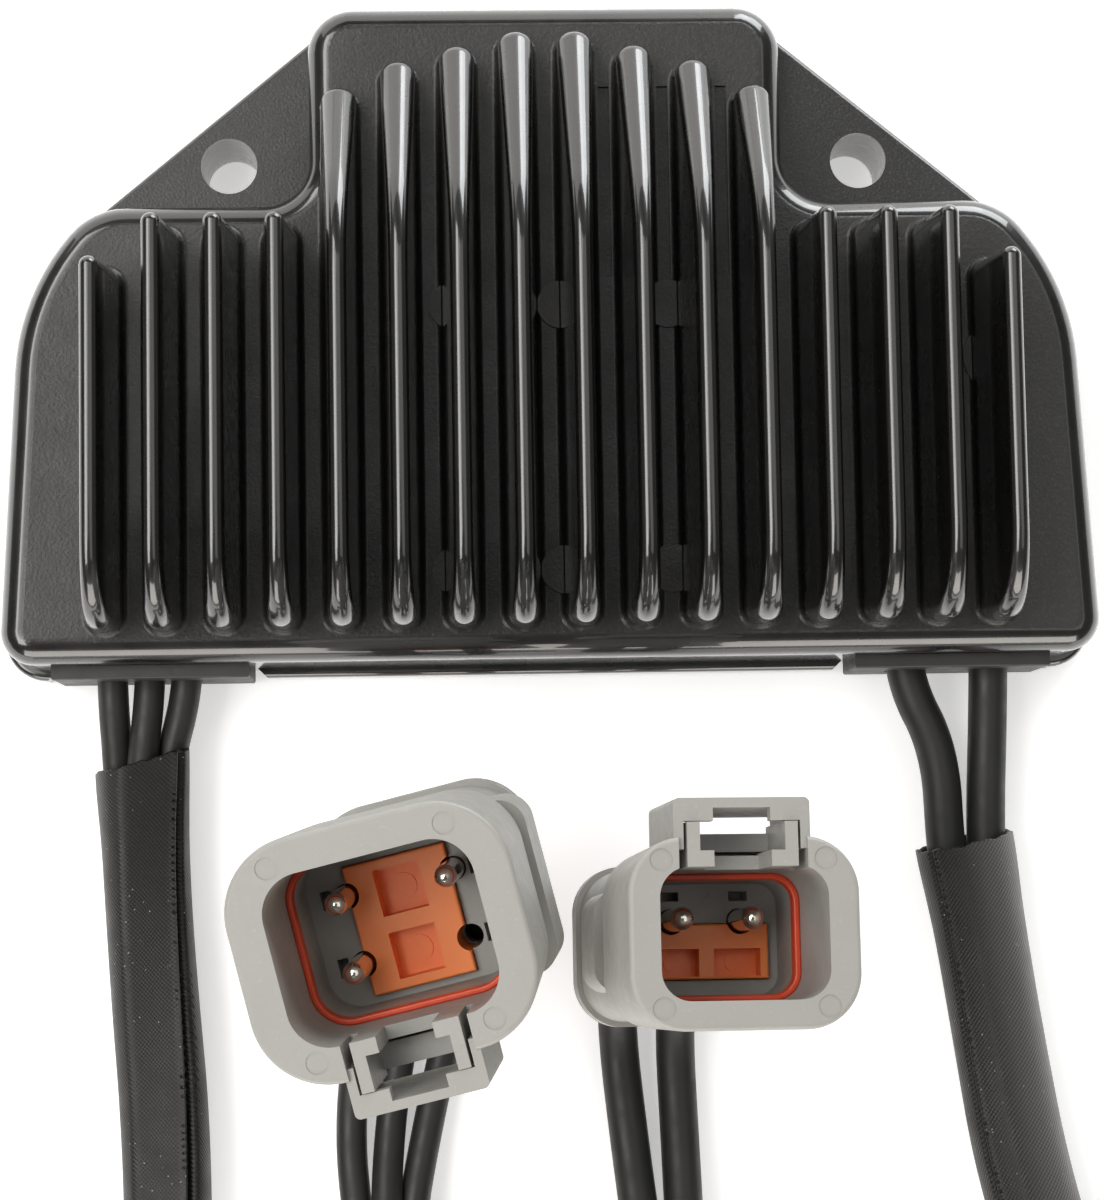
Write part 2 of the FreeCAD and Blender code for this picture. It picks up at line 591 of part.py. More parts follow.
def latch(c):
    """Bridge over the shroud for the plug's latch, two hooked arms and the ramp between them."""
    half, mouth = c["outer"][1] / 2, c["mouth"][1] / 2
    side_u = LATCH_WIDTH / 2
    top = half + LATCH_RISE
    opening = LATCH_OPENING / 2
    bridge = box(-side_u, side_u, half - 1.2, top, -LATCH_LENGTH - 0.6, -0.6)
    bridge = bridge.cut([box(-opening, opening, 0, top - LATCH_BAR[0], -BODY_LENGTH, 1),
                         box(-opening, opening, 0, top - LATCH_ROOF, -BODY_LENGTH, -0.6 - LATCH_BAR[1]),
                         box(-2.9, 2.9, 0, top - LATCH_ROOF, -BODY_LENGTH, 1)])
    corners = [e for e in bridge.Edges if abs(abs(e.CenterOfMass.x) - side_u) < 1e-6
               and abs(e.CenterOfMass.y - top) < 1e-6]
    bridge = bridge.makeFillet(0.6, corners)
    ramp_v = mouth + SILL_WALL + SILL_GROOVE
    pieces = [box(-opening, opening, ramp_v, half + RAMP_RISE, -LATCH_LENGTH - 0.6, -RAMP_DEPTH)]
    for s in (-1, 1):
        low, high = sorted((s * 4.3, s * 5.6))
        pieces.append(box(low, high, mouth, half + 1.5, -RAMP_DEPTH - 1, -0.3))
        low, high = sorted((s * 2.9, s * 5.6))
        pieces.append(box(low, high, mouth, mouth + 1.6, -SILL_DEPTH - 1, -0.3))
    return latch_turned(bridge.fuse(pieces), c)


def latch_notch(c):
    """Cut through the shroud between the arms, down to the sill and a groove behind it."""
    mouth, half = c["mouth"][1] / 2, c["outer"][1] / 2
    sill_v = mouth + SILL_WALL
    cuts = [box(-6.5, 6.5, mouth - 2, half + 1, -SILL_DEPTH, 1),
            box(-6.5, 6.5, sill_v, half + 1, -RAMP_DEPTH, 1),
            box(-5.0, 5.0, sill_v, sill_v + SILL_GROOVE, -RAMP_DEPTH - 3, 1)]
    return [latch_turned(cut, c) for cut in cuts]


def receptacle_housing(c):
    shroud = c["shroud_depth"]
    front = tapered_block(c["mid"], -shroud, c["outer"], 0)
    rim = [e for e in front.Edges if abs(e.CenterOfMass.z) < 1e-6]
    front = front.makeFillet(0.5, rim)
    rear = rounded_block(c["rear"], -BODY_LENGTH, -shroud)
    flange = rounded_block(c["flange"], -shroud - FLANGE_DEPTH[1], -shroud - FLANGE_DEPTH[0])
    w, h, r = c["rear"]
    lip = rounded_block((w + 1.2, h + 1.2, r + 0.6), -BODY_LENGTH, -BODY_LENGTH + 3)
    solid = front.fuse([rear, flange, lip])
    solid = solid.cut(latch_notch(c)).fuse(latch(c))
    ww, wh = c["wedge"]
    gap = WEDGE_GAP
    back = -WEDGE_DEPTH - WEDGE_THICKNESS
    tools = [rounded_block(c["mouth"], -LEDGE_DEPTH, 1), rounded_block(c["pocket"], -FLOOR_DEPTH, 1),
             centred_box(0, c["wedge_v"], ww + 2 * gap, wh + 2 * gap, back, -FLOOR_DEPTH + 1),
             rounded_block(c["seal"], -BODY_LENGTH - 1, -REAR_SEAL_DEPTH)]
    for u, v in c["cavities"]:
        tools.append(cylinder(BORE_RADIUS, u, v, -CAVITY_DEPTH - 1, -FLOOR_DEPTH + 1))
        tools.append(cylinder(CAVITY_RADIUS, u, v, -REAR_SEAL_DEPTH - 1, -CAVITY_DEPTH))
    lw, lh, places = c["locks"]
    tools += [centred_box(u, v, lw, lh, -FLOOR_DEPTH - 3, -FLOOR_DEPTH + 1) for u, v in places]
    mu, mv = c["marks"]
    tools += [cylinder(MARK_RADIUS, x, y, -MARK_DEPTH, 1) for x in (-mu, mu) for y in (-mv, mv)]
    tools += [cylinder(0.55, u, v, -FLOOR_DEPTH - 0.12, -FLOOR_DEPTH + 1) for u, v in c["floor_marks"]]
    return solid.cut(tools).removeSplitter()


def wedge_lock(c):
    ww, wh = c["wedge"]
    front, back = -WEDGE_DEPTH, -WEDGE_DEPTH - WEDGE_THICKNESS
    solid = centred_box(0, c["wedge_v"], ww, wh, back, front)
    solid = solid.makeFillet(0.25, [e for e in solid.Edges if abs(e.CenterOfMass.z - front) < 1e-6])
    tools = [cylinder(NOTCH_RADIUS, u, v, back - 1, front + 1) for u, v in c["cavities"]]
    pw, ph, places = c["windows"]
    tools += [centred_box(u, v, pw, ph, front - WINDOW_DEPTH, front + 1) for u, v in places]
    pads = [cylinder(c["window_pad"], u, v, front - WINDOW_DEPTH - 0.5, front - WINDOW_DEPTH + WINDOW_PAD)
            for u, v in places]
    return solid.cut(tools).fuse(pads)


def front_seal(c):
    low, high = -LEDGE_DEPTH, -LEDGE_DEPTH + FRONT_SEAL_HEIGHT
    ring = rounded_block(c["mouth"], low, high).cut(rounded_block(c["pocket"], low - 1, high + 1))
    return ring.makeFillet(0.25, [e for e in ring.Edges if abs(e.CenterOfMass.z - high) < 1e-6])


def rear_seal(c):
    high = -REAR_SEAL_DEPTH
    block = rounded_block(c["seal"], high - REAR_SEAL_THICKNESS, high)
    return block.cut([cylinder(c["wire_radius"], u, v, -BODY_LENGTH, high + 1) for u, v in c["cavities"]])


def contact_pin(c, index):
    u, v = c["cavities"][index]
    ball = -PIN_TIP_DEPTH - PIN_RADIUS
    shoulder, neck = -CAVITY_DEPTH - BARREL_LENGTH / 3, -CAVITY_DEPTH - BARREL_LENGTH / 2
    steps = ((PIN_RADIUS, shoulder, ball), (1.75, shoulder, -CAVITY_DEPTH),
             (1.4, neck, shoulder), (1.9, -WIRE_START_DEPTH, neck))
    sections = [cylinder(radius, u, v, z0, z1) for radius, z0, z1 in steps]
    return Part.makeSphere(PIN_RADIUS, V(u, v, ball)).fuse(sections).removeSplitter()


def sealing_plug(c, index):
    u, v = c["cavities"][index]
    top = -REAR_SEAL_DEPTH
    shank = cylinder(c["wire_radius"], u, v, top - REAR_SEAL_THICKNESS, top + 1.5)
    head = cylinder(2.3, u, v, top - REAR_SEAL_THICKNESS - 1.2, top - REAR_SEAL_THICKNESS)
    return shank.fuse(head).removeSplitter()


# ALL PARTS

parts = {}
parts["heat_sink"] = heat_sink()

stator_ends, stator_into = sleeve_ends(STATOR_ROUTE, True, STATOR_BUNDLE)
output_ends, output_into = sleeve_ends(OUTPUT_ROUTE, True, OUTPUT_BUNDLE)
wires = {}
for i, x in enumerate(STATOR_XS):
    wires["stator_wire_%d" % (i + 1)] = (housing_wire(x, stator_ends[i], stator_into), STATOR_RADIUS)
for i, x in enumerate(OUTPUT_XS):
    wires["output_wire_%d" % (i + 1)] = (housing_wire(x, output_ends[i], output_into), OUTPUT_RADIUS)
far_ends, far_into = sleeve_ends(STATOR_ROUTE, False, STATOR_BUNDLE)
for i, table in enumerate(FOUR_WAY_TABLE):
    route = receptacle_wire(FOUR_WAY, i, FOUR_WAY_BEND_Z, table, far_ends[i], far_into)
    wires["four_way_wire_%d" % (i + 1)] = (route, STATOR_RADIUS)
far_ends, far_into = sleeve_ends(OUTPUT_ROUTE, False, OUTPUT_BUNDLE)
for i, table in enumerate(TWO_WAY_TABLE):
    route = receptacle_wire(TWO_WAY, i, TWO_WAY_BEND_Z, table, far_ends[i], far_into)
    wires["two_way_wire_%d" % (i + 1)] = (route, OUTPUT_RADIUS)
for name, (route, radius) in wires.items():
    parts[name] = tube(name, route, radius)
parts["stator_sleeve"] = tube("stator_sleeve", STATOR_ROUTE, STATOR_SLEEVE_RADIUS)
parts["output_sleeve"] = tube("output_sleeve", OUTPUT_ROUTE, OUTPUT_SLEEVE_RADIUS)

parts["stator_seal"] = lead_seal(-1, STATOR_XS, STATOR_RADIUS)
parts["output_seal"] = lead_seal(1, OUTPUT_XS, OUTPUT_RADIUS)

inside = {
    "insulating_sheet": centred_box(0, SUBSTRATE_Y, *SUBSTRATE[:2], CAVITY_TOP - SHEET, CAVITY_TOP),
    "power_substrate": centred_box(0, SUBSTRATE_Y, *SUBSTRATE[:2], SUBSTRATE_Z, CAVITY_TOP - SHEET),
    "circuit_board": circuit_board(),
    "control_chip": centred_box(0, 4.0, CHIP[0], CHIP[1], BOARD_Z - CHIP[2], BOARD_Z),
    "capacitor": capacitor(),
}
for i, x in enumerate(DEVICE_XS):
    kind = "thyristor" if i % 2 == 0 else "diode"
    device = centred_box(x, DEVICE_Y, *DEVICE[:2], DEVICE_Z, SUBSTRATE_Z)
    inside["%s_%d" % (kind, i // 2 + 1)] = device
for i, x in enumerate(STATOR_XS):
    inside["stator_lug_%d" % (i + 1)] = lug(x)
for i, x in enumerate(OUTPUT_XS):
    inside["output_lug_%d" % (i + 1)] = lug(x)
parts.update(inside)
housed = list(inside.values()) + [parts[n] for n in wires if n.startswith(("stator", "output"))]
parts["potting"] = potting(housed)

for c in (FOUR_WAY, TWO_WAY):
    name = c["name"]
    parts[name + "_housing"] = placed(receptacle_housing(c), c)
    parts[name + "_wedge"] = placed(wedge_lock(c), c)
    parts[name + "_front_seal"] = placed(front_seal(c), c)
    parts[name + "_rear_seal"] = placed(rear_seal(c), c)
    for i in range(c["pins"]):
        parts["%s_pin_%d" % (name, i + 1)] = placed(contact_pin(c, i), c)
parts["four_way_sealing_plug"] = placed(sealing_plug(FOUR_WAY, 3), FOUR_WAY)

os.makedirs("parts", exist_ok=True)
for name, shape in parts.items():
    shape.exportStep("parts/%s.step" % name)
    if not shape.isValid() or len(shape.Solids) != 1:
        print(name, "valid", shape.isValid(), "solids", len(shape.Solids))
print(len(parts), "parts")
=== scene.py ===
"""Voltage regulator rectifier: a black finned casting with two sleeved leads and two grey receptacles."""
import bpy
from collections import namedtuple
from math import atan, cos, exp, pi, radians, sin, sqrt, tan
from mathutils import Matrix, Vector


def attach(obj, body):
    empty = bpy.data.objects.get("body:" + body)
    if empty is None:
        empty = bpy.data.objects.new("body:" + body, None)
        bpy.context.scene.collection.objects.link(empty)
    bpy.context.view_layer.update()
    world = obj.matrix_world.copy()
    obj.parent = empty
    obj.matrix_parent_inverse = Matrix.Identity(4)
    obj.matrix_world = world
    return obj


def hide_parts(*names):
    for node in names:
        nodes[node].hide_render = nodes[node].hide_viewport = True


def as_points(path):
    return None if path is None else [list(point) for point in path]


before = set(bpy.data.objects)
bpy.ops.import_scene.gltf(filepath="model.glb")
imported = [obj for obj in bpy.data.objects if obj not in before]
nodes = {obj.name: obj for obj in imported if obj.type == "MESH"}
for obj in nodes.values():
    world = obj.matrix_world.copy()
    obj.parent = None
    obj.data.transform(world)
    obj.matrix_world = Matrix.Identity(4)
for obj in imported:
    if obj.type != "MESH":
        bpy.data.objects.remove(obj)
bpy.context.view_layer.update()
MM = 0.001
UP = Vector((0, 0, 1))

# CAMERA: over the fins, leaning a little towards the leads' end

LENS_PIXELS, FRAME_PIXELS, SENSOR_WIDTH = 3008.67, 1100, 36.0
camera_data = bpy.data.cameras.new("studio_camera")
camera_data.sensor_fit = "HORIZONTAL"
camera_data.sensor_width = SENSOR_WIDTH
camera_data.lens = SENSOR_WIDTH * LENS_PIXELS / FRAME_PIXELS
camera_data.clip_start, camera_data.clip_end = 0.01, 10
camera = bpy.data.objects.new("studio_camera", camera_data)
camera.matrix_world = Matrix((
    (0.99941989, 0.01372864, -0.03116740, -0.01142),
    (-0.01652934, 0.99567166, -0.09145886, -0.06498),
    (0.02977689, 0.09192098, 0.99532099, 0.36997),
    (0, 0, 0, 1)))
bpy.context.collection.objects.link(camera)
bpy.context.scene.camera = camera

# ROUTES of the leads, in millimetres, as the solids have them

SEAL_FACE_Y = -40.85  # outer face of the seals in the casting's wall
LEAD_Z, LUG_Y = 7.0, -30.0  # height of the leads in the wall, and where they meet their lugs
SLEEVE_APPROACH = 6.0  # straight run before a sleeve's far mouth
WIRE_START_DEPTH = 39.0  # from a receptacle's face to the wires' ends in its contacts
WIRE_RUN_IN = 3.0  # how far a wire is drawn inside its sleeve

# Each lead: radii of its wires and its sleeve, the wires' places in the wall (xs) and as they crowd into the
# sleeve (snug), extra points of the short wires (bends), the sleeve's route from the casting on, the wires'
# points from each cavity to the sleeve (table), and the receptacle's face, turn, lean, bend and cavities.
# The sleeve has a crease at an angle round it, which drifts along it, with a flattened span on one side
# (way_round) and a fold (depth and width) on the other, and its mouth is cut with a slant.
STATOR = {
    "kind": "stator", "receptacle": "four_way", "wire": 1.85, "sleeve": 5.3,
    "xs": (-52.9, -48.35, -43.85),
    "snug": ((-3.0, -0.8), (0.0, 1.35), (3.0, -0.8)),
    "bends": {},
    "route": (
        (-49.4, -50.4, 6.3), (-49.2, -62.0, 5.4), (-48.3, -77.0, 5.4), (-46.8, -94.0, 5.4),
        (-46.6, -113.0, 5.4), (-56.4, -130.6, 5.4), (-70.7, -145.2, 5.4), (-76.4, -164.9, 5.4),
        (-71.6, -184.3, 5.4), (-57.7, -198.7, 5.4), (-38.5, -204.2, 5.4), (-19.1, -199.3, 5.4),
        (-4.7, -185.5, 5.4), (0.8, -166.2, 5.4), (-4.0, -146.8, 5.4), (-15.0, -131.1, 5.4),
        (-19.5, -113.0, 5.4),
    ),
    "table": (
        ((-21.0, -71.5, 1.95), (-24.0, -84.0, 1.95), (-25.2, -96.0, 2.6)),
        ((-17.6, -79.0, 1.95), (-20.2, -93.0, 2.4)),
        ((-9.0, -68.6, 1.95), (-13.0, -83.0, 1.95), (-15.8, -95.0, 2.6)),
    ),
    "face": (-19.35, -71.28, 72.0), "turn": 14.0, "lean": (-7.5, -4.3), "bend_z": 11.0,
    "cavities": ((-5.9, 3.7), (-5.9, -3.7), (5.9, 3.7), (5.9, -3.7)),
    "crease": radians(38), "way_round": 1, "drift": 0.5, "slant": 1.3, "span": 1.25, "fold": (0.20, 0.085),
}
OUTPUT = {
    "kind": "output", "receptacle": "two_way", "wire": 2.35, "sleeve": 5.6,
    "xs": (42.7, 53.05),
    "snug": ((-2.4, 0.0), (2.4, 0.0)),
    "bends": {0: (46.9, -50.5, 6.9)},
    "route": (
        (49.6, -61.6, 6.4), (51.2, -71.0, 5.7), (53.2, -85.0, 5.7), (55.6, -101.0, 5.7),
        (60.2, -117.0, 5.7), (73.0, -132.4, 5.7), (88.9, -145.6, 5.7), (96.0, -165.0, 5.7),
        (92.8, -185.7, 5.7), (79.8, -202.3, 5.7), (60.5, -210.5, 5.7), (39.6, -208.3, 5.7),
        (22.4, -196.2, 5.7), (13.5, -177.3, 5.7), (12.9, -157.4, 5.7), (12.6, -137.4, 5.7),
        (12.6, -117.4, 5.7),
    ),
    "table": (
        ((7.2, -83.0, 2.45), (8.6, -97.0, 2.6)),
        ((14.2, -83.0, 2.45), (14.7, -97.0, 2.6)),
    ),
    "face": (16.71, -70.86, 72.0), "turn": 0.0, "lean": (5.7, 2.8), "bend_z": 13.5,
    "cavities": ((-3.7, 2.0), (3.7, 2.0)),
    "crease": radians(138), "way_round": -1, "drift": 0.0, "slant": 0.2, "span": 0.4, "fold": (0.05, 0.045),
}


def receptacle_axes(lead):
    """u and v span a receptacle's face and w points out of it; its origin is the face's middle."""
    turn, (lean_u, lean_v) = radians(lead["turn"]), lead["lean"]
    u, v = Vector((cos(turn), sin(turn), 0)), Vector((-sin(turn), cos(turn), 0))
    w = u * sin(radians(lean_u)) + v * sin(radians(lean_v))
    w.z = sqrt(1 - w.x ** 2 - w.y ** 2)
    u = (u - w * u.dot(w)).normalized()
    return u, w.cross(u), w, Vector(lead["face"])


def sleeve_mouth(lead, first):
    """Where the wires stand in a mouth of the sleeve, and the way into it."""
    route = lead["route"] if first else lead["route"][::-1]
    a, b = Vector(route[0]), Vector(route[1])
    into = (b - a).normalized()
    across = UP.cross(into).normalized()
    up = into.cross(across).normalized()
    return [a + across * x + up * z for x, z in lead["snug"]], into


def casting_wire(x, end, into, bend):
    """Route of a wire from its lug through the seal and a little way into the sleeve."""
    past_seal, before_mouth, longest_straight = 1.2, 0.6, 9.0
    turn = Vector((x, SEAL_FACE_Y - past_seal, LEAD_Z))
    before = end + into * before_mouth
    straight = turn + Vector((0, 1, 0)) * min((before - turn).length, longest_straight)
    middle = [Vector(bend)] if bend else []
    return [Vector((x, LUG_Y, LEAD_Z)), straight, turn] + middle + [before, end + into * WIRE_RUN_IN]


def receptacle_wire(lead, cavity, end, into):
    """Route of a wire from its contact down out of the receptacle and a little way into the sleeve."""
    u, v, w, face = receptacle_axes(lead)
    cu, cv = lead["cavities"][cavity]
    start = face + u * cu + v * cv - w * WIRE_START_DEPTH
    bend = start - w * ((start.z - lead["bend_z"]) / w.z)
    middle = [Vector(p) for p in lead["table"][cavity]]
    return [start, bend] + middle + [end - into * SLEEVE_APPROACH, end, end + into * WIRE_RUN_IN]


# FINISHES


class Finish:
    """A material built up from nodes round one shader, in Object coordinates unless it is told otherwise."""

    def __init__(self, name, **sockets):
        self.material = bpy.data.materials.new(name)
        self.material.use_nodes = True
        self.tree = self.material.node_tree
        self.shader = self.tree.nodes["Principled BSDF"]
        for socket, value in sockets.items():
            self.shader.inputs[socket.replace("_", " ")].default_value = value
        self.place = self.node("TexCoord", "Object")
        self.height = None

    def fill(self, made, inputs):
        """Links or sets each input of a new node."""
        for key, value in inputs.items():
            if isinstance(value, bpy.types.NodeSocket):
                self.tree.links.new(value, made.inputs[key])
            else:
                made.inputs[key].default_value = value

    def node(self, kind, output=0, inputs=None, **settings):
        made = self.tree.nodes.new("ShaderNode" + kind)
        for key, value in settings.items():
            setattr(made, key, value)
        self.fill(made, inputs or {})
        return made.outputs[output]

    def noise(self, scale, detail=3.0):
        return self.node("TexNoise", "Fac", {"Vector": self.place, "Scale": scale, "Detail": detail})

    def cells(self, scale):
        return self.node("TexVoronoi", "Distance", {"Vector": self.place, "Scale": scale})

    def math(self, operation, a, b=0.0, clamp=False):
        return self.node("Math", 0, {0: a, 1: b}, operation=operation, use_clamp=clamp)

    def product(self, first, *others):
        for other in others:
            first = self.math("MULTIPLY", first, other)
        return first

    def levels(self, source, low, high, to_low=0.0, to_high=1.0):
        return self.node("MapRange", 0, {0: source, 1: low, 2: high, 3: to_low, 4: to_high})

    def under(self, source, full, none):
        """1 up to the value full, 0 from the value none on."""
        return self.levels(source, full, none, 1.0, 0.0)

    def band(self, source, rise, fall):
        """1 between two ramps, each given by where it starts and ends."""
        return self.product(self.levels(source, *rise), self.under(source, *fall))

    def between(self, factor, a, b, blend="MIX"):
        """Colour a where the factor is 0 and b where it is 1."""
        return self.node("Mix", 2, {0: factor, 6: a, 7: b}, data_type="RGBA", blend_type=blend)

    def along(self, axis, at=None):
        return self.node("SeparateXYZ", "XYZ".index(axis), {0: at or self.place})

    def bump(self, height, depth, strength=1.0):
        inputs = {"Height": height, "Distance": depth, "Strength": strength}
        if self.height:
            inputs["Normal"] = self.height
        self.height = self.node("Bump", 0, inputs)
        self.drive("Normal", self.height)

    def drive(self, socket, source):
        self.tree.links.new(source, self.shader.inputs[socket])

    def vary_roughness(self, scale, low, high, detail=3):
        self.drive("Roughness", self.levels(self.noise(scale, detail), 0.3, 0.7, low, high))


def grey(value, warm=0.0):
    return (value * (1 + warm), value, value * (1 - warm), 1)


def powder_coat():
    """Gloss black on the fins and rounds, and a satin grain on the flats between them."""
    f = Finish("black_powder_coat", Roughness=0.3, IOR=1.5, Coat_Weight=1.0, Coat_IOR=1.6, Coat_Roughness=0.06)
    y, z = f.along("Y"), f.along("Z")
    wide = f.math("ABSOLUTE", f.along("X"))

    # Flats, by their heights in metres: ears 0.012, sunk strips below 0.0175, plate 0.0175, ejector pads 0.0178
    strips_x, strips_middle_y, strips_half = 0.026, 0.017, 0.0135
    from_middle = f.math("ABSOLUTE", f.math("SUBTRACT", y, strips_middle_y))
    among_strips = f.product(f.math("LESS_THAN", wide, strips_x), f.math("LESS_THAN", from_middle, strips_half))
    strips = f.product(among_strips, f.under(z, 0.0172, 0.0175))
    plate = f.band(z, (0.01742, 0.01748), (0.0178, 0.0181))
    ears = f.band(z, (0.0119, 0.01196), (0.01202, 0.01206))
    flat = f.math("ADD", f.math("MAXIMUM", plate, strips), ears, clamp=True)
    level = f.levels(f.along("Z", f.node("NewGeometry", "Normal")), 0.995, 0.999)
    pads = f.product(f.band(z, (0.01772, 0.01776), (0.01784, 0.01788)), level, f.math("LESS_THAN", wide, 0.03))

    colour = f.between(f.noise(90, 4), grey(0.0035, 0.08), grey(0.006, 0.08))
    colour = f.between(f.product(plate, 0.5), colour, grey(0.020, 0.06))
    speckle = f.levels(f.noise(3400, 2), 0.5, 0.72)
    colour = f.between(f.product(speckle, flat), colour, grey(0.026, 0.06))
    colour = f.between(pads, colour, grey(0.036, 0.06))

    # Bare metal in the mounting holes, and in small chips
    hole_x, hole_y = 0.0381, 0.02105
    dx, dy = f.math("SUBTRACT", wide, hole_x), f.math("SUBTRACT", y, hole_y)
    reach = f.math("SQRT", f.math("ADD", f.product(dx, dx), f.product(dy, dy)))
    in_hole = f.product(f.under(reach, 0.00345, 0.0035), f.under(z, 0.0114, 0.0117))
    chips = f.product(f.under(f.cells(240), 0.016, 0.022), f.levels(f.noise(120, 1), 0.60, 0.63))
    bare = f.math("MAXIMUM", in_hole, f.product(chips, 0.8))
    metal = f.between(f.noise(600, 3), grey(0.38, 0.02), grey(0.60, 0.02))
    f.drive("Base Color", f.between(bare, colour, metal))

    f.drive("Coat Weight", f.math("SUBTRACT", f.levels(flat, 0, 1, 1.0, 0.18), bare, clamp=True))
    gloss = f.levels(f.noise(260, 3), 0.3, 0.7, 0.24, 0.34)
    f.drive("Roughness", f.math("ADD", gloss, f.product(flat, 0.15)))
    f.bump(f.noise(240, 2), 0.00005, 0.35)
    f.bump(f.product(f.noise(3000, 3), flat), 0.00010, 0.9)
    f.bump(f.product(f.noise(900, 3), flat), 0.00008, 0.5)
    f.bump(chips, -0.00004, 0.8)
    return f.material


def wire_insulation():
    f = Finish("wire_insulation", Roughness=0.36, Sheen_Weight=0.04)
    f.drive("Base Color", f.between(f.noise(220, 4), grey(0.008, 0.04), grey(0.015, 0.04)))
    f.vary_roughness(500, 0.42, 0.58)
    f.bump(f.noise(900, 3), 0.00004, 0.4)
    dust = f.product(f.under(f.cells(500), 0.02, 0.04), f.levels(f.noise(200, 1), 0.55, 0.6))
    f.bump(dust, 0.00003, 0.6)
    return f.material


def woven_sleeving(name, fold_shadow_from, painted_sheen_from, stitches_along):
    """Varnished weave: u runs round a sleeve from its crease and v along it, in turns of its girth.

    A painted fold shadow, near black, ends at the crease and starts at the second argument; a painted sheen makes
    the weave paler from the third argument on; and the stretch between the two values of stitches_along has
    stitches.
    """
    f = Finish(name, Roughness=0.46, Specular_IOR_Level=0.36)
    around = f.node("TexCoord", "UV")
    u, v = f.along("X", around), f.along("Y", around)
    threads, notches_a_turn, stitches_a_turn = 62, 34, 27

    def waves(source, count):
        return f.math("SINE", f.product(source, 2 * pi * count))

    one, two = waves(f.math("ADD", u, v), threads), waves(f.math("SUBTRACT", u, v), threads)
    weave = f.math("ADD", f.product(one, 0.38), f.product(two, 0.16))
    tone = f.between(f.noise(160, 5), grey(0.012, 0.10), grey(0.024, 0.10))
    # painted sheen: the weave is paler on the side of the sleeve that catches the lamps
    tone = f.between(f.band(u, (painted_sheen_from, painted_sheen_from + 0.2), (0.5, 0.7)), tone, grey(0.19, 0.03))
    lit = f.between(f.levels(weave, -0.4, 0.4), grey(0.40), grey(1.0))
    shade = f.between(1.0, tone, lit, "MULTIPLY")

    # painted fold shadow: a near-black band beside the crease, where the fold turns away from the lamps
    edge = f.math("ADD", u, f.levels(f.noise(260, 2), 0.3, 0.7, -0.006, 0.006))
    fold_shadow = f.product(f.levels(edge, fold_shadow_from, fold_shadow_from + 0.01), f.levels(f.noise(90, 3), 0.3, 0.7, 0.85, 1.0))
    shade = f.between(f.product(fold_shadow, 0.92), shade, grey(0.0012))

    at_crease = f.math("MAXIMUM", f.under(u, 0.003, 0.011), f.levels(u, 0.988, 0.996))
    beads = waves(f.math("ADD", v, f.product(f.noise(120, 2), 0.09)), notches_a_turn)
    notches = f.product(f.levels(beads, 0.2, 0.7), at_crease, f.levels(f.noise(210, 1), 0.42, 0.55))
    first, end = stitches_along
    run = f.band(v, (first, first + 0.1), (end, end + 0.1))
    slanted = waves(f.math("ADD", v, f.product(u, 1.2)), stitches_a_turn)
    stitches = f.product(f.levels(slanted, 0.35, 0.6), run, f.band(u, (0.925, 0.935), (0.965, 0.972)))
    dark = f.math("MAXIMUM", notches, stitches)
    shade = f.between(dark, shade, grey(0.001))

    dust = f.product(f.under(f.cells(1000), 0.06, 0.10), f.levels(f.noise(150, 1), 0.50, 0.54))
    f.drive("Base Color", f.between(dust, shade, grey(0.26, 0.03)))
    f.vary_roughness(300, 0.38, 0.52)
    f.bump(weave, 0.00006, 0.55)
    f.bump(dark, -0.0003, 0.8)
    f.bump(f.noise(420, 4), 0.00008, 0.35)
    return f.material


def seal_rubber():
    f = Finish("seal_rubber", Roughness=0.5)
    f.drive("Base Color", f.between(f.noise(300, 4), grey(0.018, 0.05), grey(0.034, 0.05)))
    f.vary_roughness(600, 0.42, 0.58)
    f.bump(f.noise(1100, 4), 0.00006, 0.6)
    return f.material


def receptacle_nylon():
    f = Finish("receptacle_nylon", Roughness=0.45)
    tone = f.between(f.noise(140, 4), (0.305, 0.300, 0.278, 1), (0.345, 0.338, 0.315, 1))
    fibres = f.levels(f.noise(2600, 2), 0.62, 0.75, 0.0, 0.25)
    f.drive("Base Color", f.between(fibres, tone, (0.45, 0.44, 0.41, 1)))
    f.vary_roughness(700, 0.38, 0.54)
    f.bump(f.noise(1500, 3), 0.00004, 0.5)
    return f.material


def wedge_plastic():
    f = Finish("wedge_plastic", Roughness=0.36)
    f.drive("Base Color", f.between(f.noise(260, 3), (0.94, 0.225, 0.048, 1), (1.0, 0.29, 0.075, 1)))
    f.vary_roughness(800, 0.30, 0.46)
    f.bump(f.noise(1300, 3), 0.00004, 0.5)
    return f.material


def red_silicone():
    f = Finish("red_silicone", Roughness=0.35)
    f.drive("Base Color", f.between(f.noise(300, 3), (0.55, 0.045, 0.012, 1), (0.68, 0.070, 0.020, 1)))
    f.bump(f.noise(900, 3), 0.00004, 0.4)
    return f.material


def contact_nickel():
    f = Finish("contact_nickel", Metallic=1.0, Roughness=0.2)
    f.drive("Base Color", f.between(f.noise(500, 3), (0.74, 0.67, 0.57, 1), (0.90, 0.85, 0.77, 1)))
    f.vary_roughness(900, 0.07, 0.15, 2)
    return f.material


def plain(name, low, high, roughness, **sockets):
    """Finish for the pieces that the resin and the shells hide."""
    f = Finish(name, Roughness=roughness, **sockets)
    f.drive("Base Color", f.between(f.noise(250, 3), (*low, 1), (*high, 1)))
    f.bump(f.noise(800, 3), 0.00004, 0.4)
    return f.material


